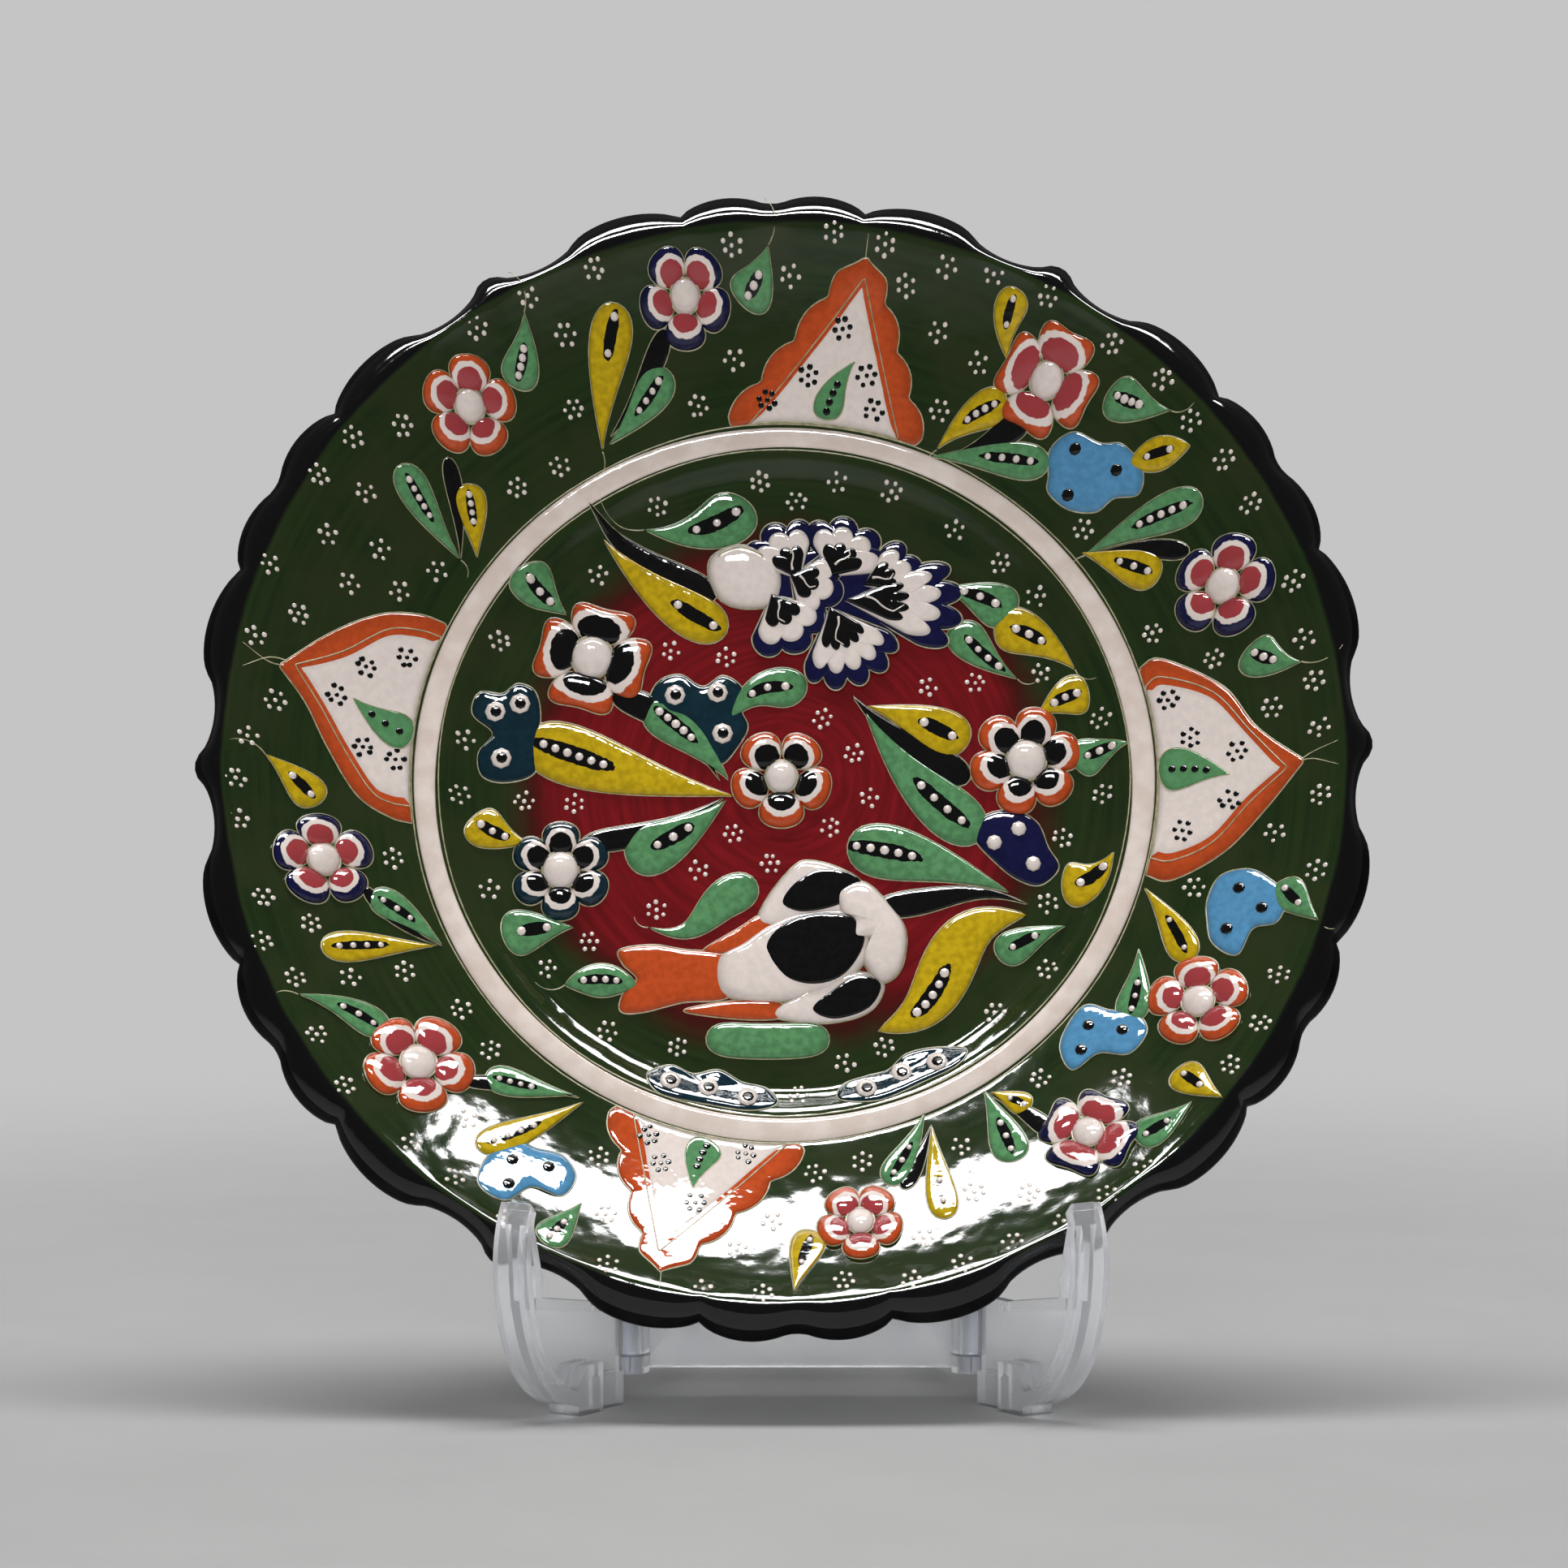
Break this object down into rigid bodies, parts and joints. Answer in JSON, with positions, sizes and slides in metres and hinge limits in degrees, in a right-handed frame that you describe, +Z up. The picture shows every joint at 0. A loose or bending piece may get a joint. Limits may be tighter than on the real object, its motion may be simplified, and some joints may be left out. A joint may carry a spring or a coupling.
{
  "type": "hand painted ceramic plate",
  "caption": "Shallow round relief plate with a scalloped rolled rim and raised enamel flowers, leaning on a clear folding stand with hinged front arms.",
  "frame": {"origin": "on the table, under the middle of the whole object", "axes": "+Z up, +X to the viewer's right, the painted face looks towards -Y and leans back 20 degrees"},
  "size_m": [0.1804, 0.1022, 0.184],
  "materials": {
    "green_glaze": "gloss, deep green shading to dark red in the well, black on the rolled rim",
    "cream_glaze": "gloss",
    "white_enamel": "gloss, raised",
    "orange_enamel": "gloss, raised",
    "navy_enamel": "gloss, raised",
    "leaf_green_enamel": "gloss, raised",
    "yellow_enamel": "gloss, raised",
    "black_enamel": "gloss, raised",
    "light_blue_enamel": "gloss, raised",
    "teal_enamel": "gloss, raised",
    "clear_plastic": "clear, moulded"
  },
  "bodies": {
    "stand": {"back_frame": "clear_plastic", "left_hinge_pin": "clear_plastic", "right_hinge_pin": "clear_plastic"},
    "left_support": {"left_arm": "clear_plastic"},
    "right_support": {"right_arm": "clear_plastic"},
    "plate": {"plate_body": "green_glaze", "cream_ring": "cream_glaze", "top_cartouche": "white_enamel", "bottom_cartouche": "white_enamel", "right_cartouche": "white_enamel", "left_cartouche": "white_enamel", "rim_flowers_orange": "orange_enamel", "rim_flowers_navy": "navy_enamel", "centre_flower": "orange_enamel", "well_flowers": "orange_enamel", "rim_green_leaves": "leaf_green_enamel", "rim_yellow_leaves": "yellow_enamel", "rim_black_stems": "black_enamel", "rim_blue_clouds": "light_blue_enamel", "well_green_leaves": "leaf_green_enamel", "well_yellow_leaves": "yellow_enamel", "well_black_stems": "black_enamel", "well_teal_clouds": "teal_enamel", "well_navy_cloud": "navy_enamel", "carnation": "navy_enamel", "tulip": "orange_enamel", "flower_centres": "white_enamel"}
  },
  "joints": [
    {"name": "plate_lift", "type": "slide", "parent": "stand", "child": "plate", "axis": [0, 0.342, 0.9397], "range_m": [0, 0.2]},
    {"name": "left_arm_fold", "type": "hinge", "parent": "stand", "child": "left_support", "pos_m": [-0.0235, -0.0237, 0.013], "axis": [0, 0, 1], "range_deg": [0, 75]},
    {"name": "right_arm_fold", "type": "hinge", "parent": "stand", "child": "right_support", "pos_m": [0.0285, -0.0237, 0.013], "axis": [0, 0, -1], "range_deg": [0, 75]}
  ],
  "couplings": [
    {"joint": "left_arm_fold", "follows": "plate_lift", "rad_per_m": 6.5},
    {"joint": "right_arm_fold", "follows": "plate_lift", "rad_per_m": 6.5}
  ]
}
